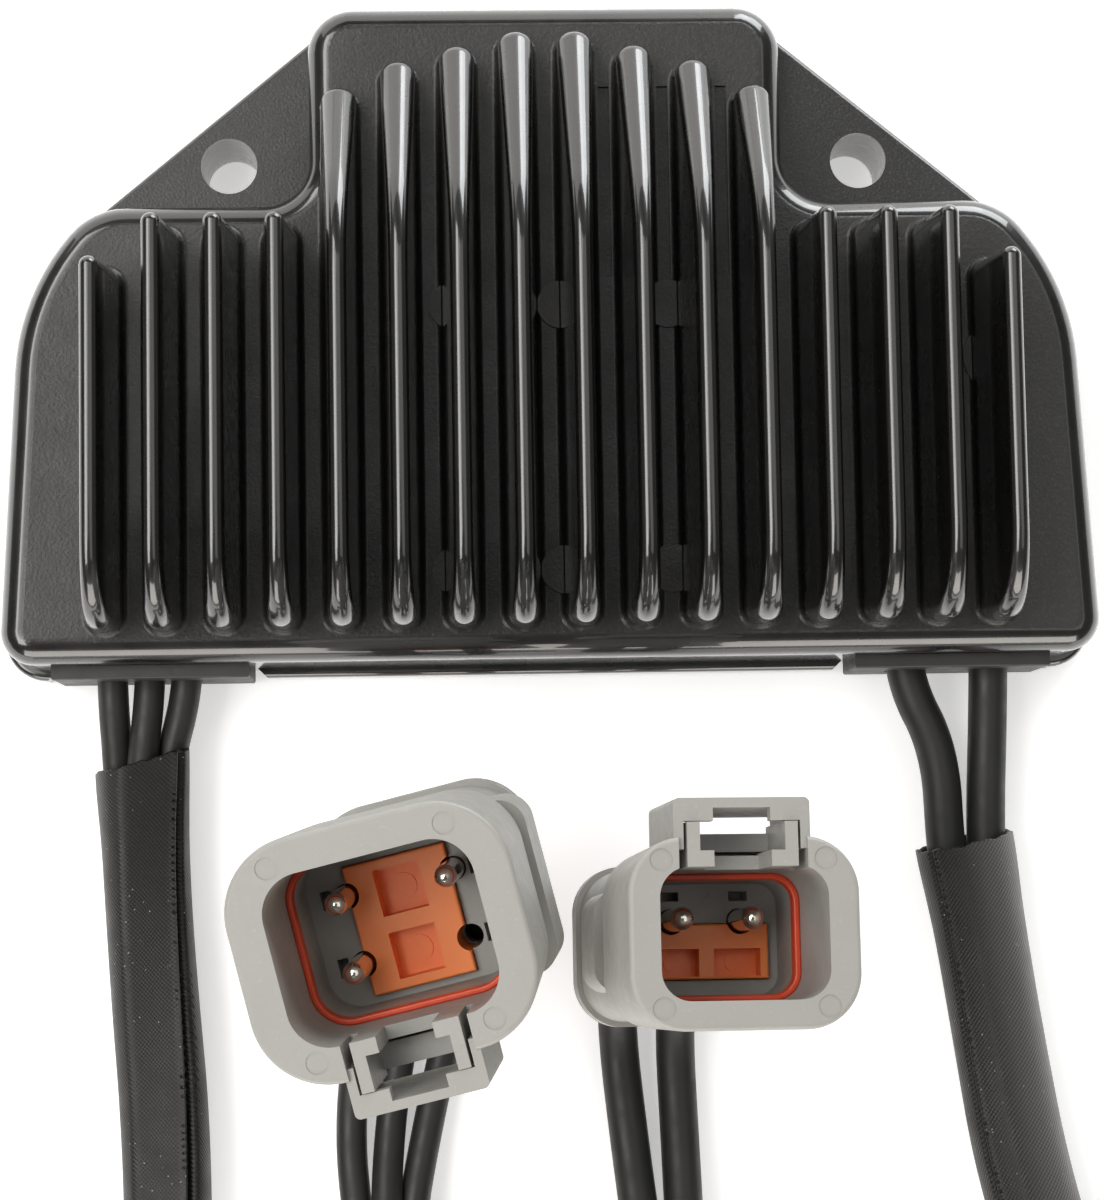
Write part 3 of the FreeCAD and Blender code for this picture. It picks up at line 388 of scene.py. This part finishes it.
COAT, INSULATION = powder_coat(), wire_insulation()
# each sleeving: its name, where its painted fold shadow starts, where its painted sheen starts, and its stitched
# stretch
STATOR_WOVEN = woven_sleeving("stator_sleeving", 0.945, 0.26, (0.75, 1.15))
OUTPUT_WOVEN = woven_sleeving("output_sleeving", 0.978, 0.10, (-2.0, -1.0))  # v is never below 0: no stitches
SEAL, NYLON, WEDGE = seal_rubber(), receptacle_nylon(), wedge_plastic()
SILICONE, NICKEL = red_silicone(), contact_nickel()
RESIN = plain("potting_resin", (0.010, 0.010, 0.011), (0.020, 0.020, 0.021), 0.3)
PAD = plain("insulator_pad", (0.40, 0.42, 0.37), (0.48, 0.50, 0.45), 0.7)
PLATE = plain("substrate_plate", (0.62, 0.62, 0.63), (0.74, 0.74, 0.75), 0.35, Metallic=1.0)
LAMINATE = plain("board_laminate", (0.02, 0.12, 0.05), (0.035, 0.17, 0.07), 0.4)
EPOXY = plain("device_epoxy", (0.018, 0.018, 0.020), (0.03, 0.03, 0.033), 0.5)
CAN = plain("capacitor_can", (0.60, 0.60, 0.62), (0.70, 0.70, 0.72), 0.3, Metallic=1.0)
BRASS = plain("lug_brass", (0.55, 0.40, 0.16), (0.66, 0.50, 0.22), 0.3, Metallic=1.0)
PLUG = plain("sealing_plug_white", (0.66, 0.65, 0.60), (0.76, 0.75, 0.70), 0.45)

# SOLIDS: each CAD node gets its finish through its object's slots

FINISHES = (
    (COAT, ("heat_sink",)),
    (SEAL, ("stator_seal", "output_seal")),
    (RESIN, ("potting",)),
    (PAD, ("insulating_sheet",)),
    (PLATE, ("power_substrate",)),
    (LAMINATE, ("circuit_board",)),
    (EPOXY, ("control_chip", "thyristor_1", "thyristor_2", "thyristor_3", "diode_1", "diode_2", "diode_3")),
    (CAN, ("capacitor",)),
    (BRASS, ("stator_lug_1", "stator_lug_2", "stator_lug_3", "output_lug_1", "output_lug_2")),
    (NYLON, ("four_way_housing", "two_way_housing")),
    (WEDGE, ("four_way_wedge", "two_way_wedge")),
    (SILICONE, ("four_way_front_seal", "two_way_front_seal", "four_way_rear_seal", "two_way_rear_seal")),
    (NICKEL, ("four_way_pin_1", "four_way_pin_2", "four_way_pin_3", "two_way_pin_1", "two_way_pin_2")),
    (PLUG, ("four_way_sealing_plug",)),
)
for finish, names in FINISHES:
    for name in names:
        for slot in nodes[name].material_slots:
            slot.material = finish

# PIECES made here


def mesh_piece(name, vertices, faces, finish, smooth_under, corners=()):
    """A closed mesh in millimetres as a piece that rides on the body; corners are its faces' UVs."""
    mesh = bpy.data.meshes.new(name)
    mesh.from_pydata([Vector(v) * MM for v in vertices], [], faces)
    if corners:
        layer = mesh.uv_layers.new(name="UVMap")
        for loop, corner in zip(layer.data, corners):
            loop.uv = corner
    obj = bpy.data.objects.new(name, mesh)
    bpy.context.collection.objects.link(obj)
    bpy.ops.object.select_all(action="DESELECT")
    obj.select_set(True)
    bpy.context.view_layer.objects.active = obj
    bpy.ops.object.mode_set(mode="EDIT")
    bpy.ops.mesh.select_all(action="SELECT")
    bpy.ops.mesh.normals_make_consistent(inside=False)
    bpy.ops.object.mode_set(mode="OBJECT")
    bpy.ops.object.shade_smooth_by_angle(angle=radians(smooth_under))
    mesh.materials.append(finish)
    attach(obj, "root")
    return obj


def wire_curve(name, route, radius):
    """Round wire along a smooth line that the route's points pull."""
    data = bpy.data.curves.new(name, "CURVE")
    data.dimensions = "3D"
    spline = data.splines.new("NURBS")
    spline.points.add(len(route) - 1)
    for point, place in zip(spline.points, route):
        point.co = (*[c * MM for c in place], 1)
    spline.order_u = 3
    spline.use_endpoint_u = True
    data.resolution_u = 12
    data.bevel_depth = radius * MM
    data.bevel_resolution = 10
    data.use_fill_caps = radius > 0
    obj = bpy.data.objects.new(name, data)
    bpy.context.collection.objects.link(obj)
    return obj


def insulated_wire(node, route, radius):
    """Wire that stands for a CAD node."""
    wire = wire_curve(node + "_insulation", route, radius)
    wire.data.materials.append(INSULATION)
    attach(wire, "root")
    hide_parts(node)
    return wire


def smooth_line(route):
    """Length in metres of the smooth line that a route's points pull, and the points along it."""
    line = wire_curve("route_line", route, 0)
    line.data.resolution_u = 18
    bpy.context.view_layer.update()
    mesh = bpy.data.meshes.new_from_object(line.evaluated_get(bpy.context.evaluated_depsgraph_get()))
    points = [v.co.copy() for v in mesh.vertices]
    bpy.data.meshes.remove(mesh)
    bpy.data.objects.remove(line)
    return sum((b - a).length for a, b in zip(points, points[1:])), points


# FIN CRESTS: the coat's full round over each fin's crest, foot and head, a little proud of the casting

FIN_PITCH, FIN_TOP, PLATE_TOP = 7.0, 34.0, 17.5
DRAFT, FOOT_DRAFT, HEAD_DRAFT = tan(radians(4)), 0.0524, 0.1051  # of the flanks, the foot's and the head's end
FOOT_Y, FOOT_ARC, FOOT_SWEEP = -36.0, 10.0, radians(78)
EDGE_ROUND = 0.75  # the solid's rounds beside the crest's flat
PROUD, FOOT_PROUD, SIDE_PROUD, SKIN = 0.3, 0.42, 0.03, 0.02  # over the crest, the foot, the flanks, the rounds
KNEE_Y, KNEE_ARC, SLOPE_END_Z, SLOPE_PROUD = 10.8, 24.0, 21.0, 0.01  # where the tower's fins start to fall
NOSE_Z, NOSE_END_Z, NOSE_PROUD, CROWN = 21.6, 20.3, 0.15, 1.03  # their rounded lower heads
BALL_Z, BALL_PROUD = 33.23, 0.05  # the wing fins' ball heads
ROOT_Z = 18.1  # where the heads' ends meet the casting
SKIRT, SKIRT_STEP, NO_SKIRT = 1.1, 0.18, 0.02  # how far a section runs down the flanks
FIN_HEADS = (7.4, 12.3, 12.3, 12.3, 28.45, 31.6, 33.4, 35.15)  # y of the heads' feet, from the sides inwards
CREST_ARC = 22  # spans round a section's arc

Section = namedtuple("Section", "y z lean radius flatness skirt")


def half_width(z):
    """Half of a fin's thickness at a height."""
    return 1 + DRAFT * (FIN_TOP - z)


def full_round(top):
    """Radius that is tangent to both drafted flanks under a crest's top."""
    return cos(radians(4)) * half_width(top) / (1 - sin(radians(4)))


NOSE_RADIUS = CROWN * full_round(NOSE_Z) + SIDE_PROUD


def foot_sections():
    """Up the foot's face and over its arc to the level crest."""
    lowest, proud_there, proud_gain, steps = 18.3, 0.12, 0.035, 24
    for z in (lowest, 20.0, 22.0, 24.0, 25.5):
        proud = proud_there + proud_gain * (z - lowest)
        y = FOOT_Y + FOOT_DRAFT * (z - PLATE_TOP) - proud
        yield Section(y, z, -radians(90), half_width(z) + SIDE_PROUD, 1, 1.0)
    setback, blend_from, narrower = 0.4, radians(52), 0.002
    arc_y = FOOT_Y + setback + FOOT_ARC * sin(FOOT_SWEEP)
    for i in range(steps + 1):
        t = FOOT_SWEEP * (1 - i / steps)
        z = FIN_TOP - FOOT_ARC * (1 - cos(t))
        flat = half_width(z - EDGE_ROUND * cos(t)) - EDGE_ROUND - narrower
        radius = flat + EDGE_ROUND + SKIN
        proud = radius - EDGE_ROUND - DRAFT * flat * cos(t)
        low = max(0.0, min(1.0, (t - blend_from) / (FOOT_SWEEP - blend_from)))
        proud += (FOOT_PROUD - proud) * low * low * (3 - 2 * low)  # eases into the face below
        reach = FOOT_ARC + proud
        yield Section(arc_y - reach * sin(t), FIN_TOP - FOOT_ARC + reach * cos(t), -t, radius, 1, SKIRT)


def slope_sections(head_y):
    """Over the knee and down a tower fin's slope; the last section starts the nose."""
    steps, straights, top = 20, 6, FIN_TOP + PROUD
    fall = (FIN_TOP - SLOPE_END_Z) / (head_y - KNEE_Y)
    slope = atan(fall)
    corner = KNEE_Y - (PROUD - SLOPE_PROUD) / fall
    start = corner - KNEE_ARC * tan(slope / 2)
    for i in range(steps + 1):
        t = slope * i / steps
        y, z = start + KNEE_ARC * sin(t), top - KNEE_ARC * (1 - cos(t))
        yield Section(y, z, t, full_round(z) * (1 + (CROWN - 1) * i / steps) + SKIN, cos(t), SKIRT)
    nose = NOSE_RADIUS * cos(slope)
    nose_y = head_y - HEAD_DRAFT * (NOSE_END_Z - PLATE_TOP) + NOSE_PROUD - nose * (1 - sin(slope))
    for i in range(1, straights + 1):
        y = y + (nose_y - y) * i / straights
        z = FIN_TOP + SLOPE_PROUD - (y - KNEE_Y) * fall
        yield Section(y, z, slope, CROWN * full_round(z) + SIDE_PROUD, cos(slope), SKIRT - SKIRT_STEP * i)


def crest_sections(head_y, sloped):
    """Along a crest from foot to head: top of each section, its lean, radius, flatness and skirt."""
    sections = list(foot_sections())
    if sloped:
        sections += slope_sections(head_y)
        last = sections[-1]
        radius, nose = NOSE_RADIUS, NOSE_RADIUS * last.flatness
        middle_y, middle_z = last.y - nose * sin(last.lean), last.z - nose * cos(last.lean)
    else:
        radius = nose = half_width(BALL_Z) + SIDE_PROUD
        middle_y = head_y - HEAD_DRAFT * (BALL_Z - PLATE_TOP) + BALL_PROUD - radius
        middle_z = FIN_TOP + PROUD - radius
        last = Section(middle_y, FIN_TOP + PROUD, 0.0, radius, 1, NO_SKIRT)
        sections.append(last)
    turns, drops = 14, 4
    for i in range(1, turns + 1):
        t = last.lean + (radians(90) - last.lean) * i / turns
        sections.append(Section(middle_y + nose * sin(t), middle_z + nose * cos(t), t, radius, last.flatness,
                                NO_SKIRT))
    end_y = sections[-1].y
    for i in range(1, drops + 1):
        z = middle_z + (ROOT_Z - middle_z) * i / drops
        sections.append(Section(end_y + HEAD_DRAFT * (middle_z - z), z, radians(90),
                                radius + DRAFT * (middle_z - z), last.flatness, NO_SKIRT))
    return sections


def fin_crest(name, x, head_y, sloped):
    """Skin over one fin, lofted through its sections."""
    vertices, faces = [], []
    for s in crest_sections(head_y, sloped):
        out_y, out_z = sin(s.lean), cos(s.lean)
        depth = s.radius * s.flatness
        base_y, base_z = s.y - out_y * depth, s.z - out_z * depth
        flare = DRAFT * abs(cos(s.lean))
        quarter = pi / 2 - atan(flare)
        arc = [quarter * (2 * k / CREST_ARC - 1) for k in range(CREST_ARC + 1)]
        ring = [(s.radius * sin(angle), depth * cos(angle)) for angle in arc]
        ring.insert(0, (ring[0][0] - flare * s.skirt, ring[0][1] - s.skirt))
        ring.append((ring[-1][0] + flare * s.skirt, ring[-1][1] - s.skirt))
        vertices += [(x + across, base_y + out_y * rise, base_z + out_z * rise) for across, rise in ring]
    size = CREST_ARC + 3
    count = len(vertices) // size
    for row in range(count - 1):
        for k in range(size):
            a, b = row * size + k, row * size + (k + 1) % size
            faces.append((a, b, b + size, a + size))
    faces += [tuple(range(size)), tuple(range((count - 1) * size, count * size))]
    mesh_piece(name, vertices, faces, COAT, smooth_under=50)


for number in range(16):
    from_side = min(number, 15 - number)
    fin_crest("fin_crest_%d" % (number + 1), (number - 7.5) * FIN_PITCH, FIN_HEADS[from_side], from_side >= 4)

# LEADS: sleeves and wires

ROUND = 160  # points round a sleeve
WALL, LIP = 0.45, 0.12
INNER_RUN = 10  # how far a sleeve's inner wall is drawn from each mouth
FLARE, FLARE_RUN, SLANT_RUN, FAR_SLANT = 0.075, 7, 12, 0.4  # of the mouths: share, run, run, share
DRIFT_RUN = 55  # along a sleeve for one radian of its crease's wave
RIDGE, RIDGE_WIDTH = 0.02, 0.07  # the crease itself: share of the radius, and radians round the sleeve


def creased(lead, away, at):
    """Distance of a sleeve's wall from its middle, at an angle away from the crease and a place along it."""
    radius, span, (depth, wide) = lead["sleeve"], lead["span"], lead["fold"]
    sharp, soft, past_span = 0.006, 0.09, 0.6  # the flattened side is sharp at the crease and soft away from it
    reach = radius
    if away < span + past_span:
        softness = radius * (sharp + soft * min(1.0, away / span))
        flat = radius * cos(span / 2) / cos(away - span / 2)
        mix = max(0.0, min(1.0, 0.5 + 0.5 * (flat - radius) / softness))
        reach = flat + (radius - flat) * mix - softness * mix * (1 - mix)
    to_crease = min(away, 2 * pi - away)
    reach += RIDGE * radius * exp(-(to_crease / RIDGE_WIDTH) ** 2)
    reach -= depth * radius * exp(-((2 * pi - away - 2.1 * wide) / wide) ** 2)
    uneven = 0.008 * (1 + sin(at / 5.9 + 2 * away)) + 0.006 * (1 + sin(at / 9.7 - 3 * away))
    return reach * (1 - uneven)


def sleeve(lead, finish):
    """Woven sleeve, open at both ends, round the smooth line of its route."""
    length, line = smooth_line(lead["route"])
    points = [p / MM for p in line]
    along = [0.0]
    for a, b in zip(points, points[1:]):
        along.append(along[-1] + (b - a).length)
    total, last = along[-1], len(points) - 1
    inner = sum(1 for s in along if s < INNER_RUN)
    vertices, turns = [], []

    def ring(i, inset, lip=0.0):
        ahead = (points[min(i + 1, last)] - points[max(i - 1, 0)]).normalized()
        across = UP.cross(ahead).normalized()
        up = ahead.cross(across)
        near = min(along[i], total - along[i])
        at_casting = along[i] < total / 2
        outwards = -1 if at_casting else 1
        flare = 1 + (FLARE * exp(-(near / FLARE_RUN) ** 2) if at_casting else 0)
        slant = lead["slant"] * (1 if at_casting else FAR_SLANT) * max(0.0, 1 - near / SLANT_RUN)
        for k in range(ROUND):
            away = 2 * pi * k / ROUND
            angle = lead["crease"] + lead["way_round"] * away + lead["drift"] * sin(along[i] / DRIFT_RUN)
            reach = creased(lead, away, along[i]) * flare - inset
            shift = slant * cos(angle)
            if near < 0.1:
                shift += 0.10 * sin(7 * away + 1) + 0.07 * sin(17 * away)  # uneven cut
            place = points[i] + (across * cos(angle) + up * sin(angle)) * reach
            vertices.append(place + ahead * (shift + lip) * outwards)
        turns.append(along[i] / (2 * pi * lead["sleeve"]))

    for i in range(inner, -1, -1):
        ring(i, WALL)
    ring(0, WALL / 2, LIP)
    for i in range(last + 1):
        ring(i, 0)
    ring(last, WALL / 2, LIP)
    for i in range(last, last - inner - 1, -1):
        ring(i, WALL)
    faces, corners = [], []
    for row in range(len(turns) - 1):
        for k in range(ROUND):
            a, b = row * ROUND + k, row * ROUND + (k + 1) % ROUND
            quad = [(a, k, row), (b, k + 1, row), (b + ROUND, k + 1, row + 1), (a + ROUND, k, row + 1)]
            quad = quad if lead["way_round"] < 0 else quad[::-1]
            faces.append([c[0] for c in quad])
            corners += [(c[1] / ROUND, turns[c[2]]) for c in quad]
    for start in (0, (len(turns) - 1) * ROUND):
        faces.append(list(range(start, start + ROUND)))
        corners += [(0.5, turns[start // ROUND])] * ROUND
    obj = mesh_piece(lead["kind"] + "_sleeving", vertices, faces, finish, 40, corners)
    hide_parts(lead["kind"] + "_sleeve")
    return obj, length, line


def add_lead(lead, finish):
    """A sleeve with its short wires at the casting and its wires to a receptacle."""
    ends, into = sleeve_mouth(lead, True)
    for i, x in enumerate(lead["xs"]):
        route = casting_wire(x, ends[i], into, lead["bends"].get(i))
        insulated_wire("%s_wire_%d" % (lead["kind"], i + 1), route, lead["wire"])
    obj, length, line = sleeve(lead, finish)
    [c * MM for c in lead["route"][0]]
    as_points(line)
    ends, into = sleeve_mouth(lead, False)
    receptacle = lead["receptacle"]
    for i in range(len(lead["table"])):
        path = receptacle_wire(lead, i, ends[i], into)
        wire = insulated_wire("%s_wire_%d" % (receptacle, i + 1), path[::-1], lead["wire"])
        [c * MM for c in path[-1]]
        smooth_line(path)[0]


add_lead(STATOR, STATOR_WOVEN)
add_lead(OUTPUT, OUTPUT_WOVEN)

# STUDIO: pale floor and soft lights

bpy.ops.mesh.primitive_plane_add(size=6, location=(0, 0, -0.0002))
floor = bpy.context.active_object
floor.name = "studio_floor"
floor_finish = Finish("studio_floor", Roughness=0.9, Base_Color=grey(0.9), Emission_Color=grey(1),
                      Emission_Strength=0.42)
floor.data.materials.append(floor_finish.material)

world = bpy.data.worlds.new("studio")
world.use_nodes = True
background = world.node_tree.nodes["Background"].inputs
background["Color"].default_value, background["Strength"].default_value = (1, 1, 1, 1), 0.12
bpy.context.scene.world = world

LIGHTS_AIM = Vector((0, -0.02, 0.02))
WHITE, WARM, WARMER, COOL = (1, 0.985, 0.965), (1, 0.97, 0.94), (1, 0.955, 0.90), (0.96, 0.985, 1)


def softbox(name, place, width, height, radiance, colour=WHITE):
    """Evenly lit panel; its power follows from how bright it looks."""
    data = bpy.data.lights.new(name, "AREA")
    data.shape, data.size, data.size_y = "RECTANGLE", width, height
    data.energy = radiance * pi * width * height
    data.color = colour
    obj = bpy.data.objects.new(name, data)
    obj.location = place
    obj.rotation_euler = (LIGHTS_AIM - Vector(place)).to_track_quat("-Z", "Y").to_euler()
    obj.visible_camera = False
    bpy.context.collection.objects.link(obj)


softbox("left_softbox", (-0.56, 0.05, 0.90), 1.3, 0.45, 5.2)
softbox("left_fill", (-0.27, 0.10, 1.0), 0.9, 0.22, 2.2)
softbox("right_softbox", (0.47, 0.0, 0.93), 1.0, 0.55, 0.85)
softbox("overhead_panel", (0.03, 0.29, 1.0), 0.40, 0.42, 0.8)
softbox("near_panel", (0.0, -0.78, 0.27), 0.95, 0.42, 4.2, WARMER)
softbox("far_panel", (-0.18, 0.86, 0.26), 1.3, 0.50, 1.45, WARM)
softbox("far_strip", (0.39, 0.74, 0.26), 0.50, 0.48, 6.6, COOL)
bpy.context.scene.view_settings.view_transform = "Standard"

bpy.context.view_layer.update()
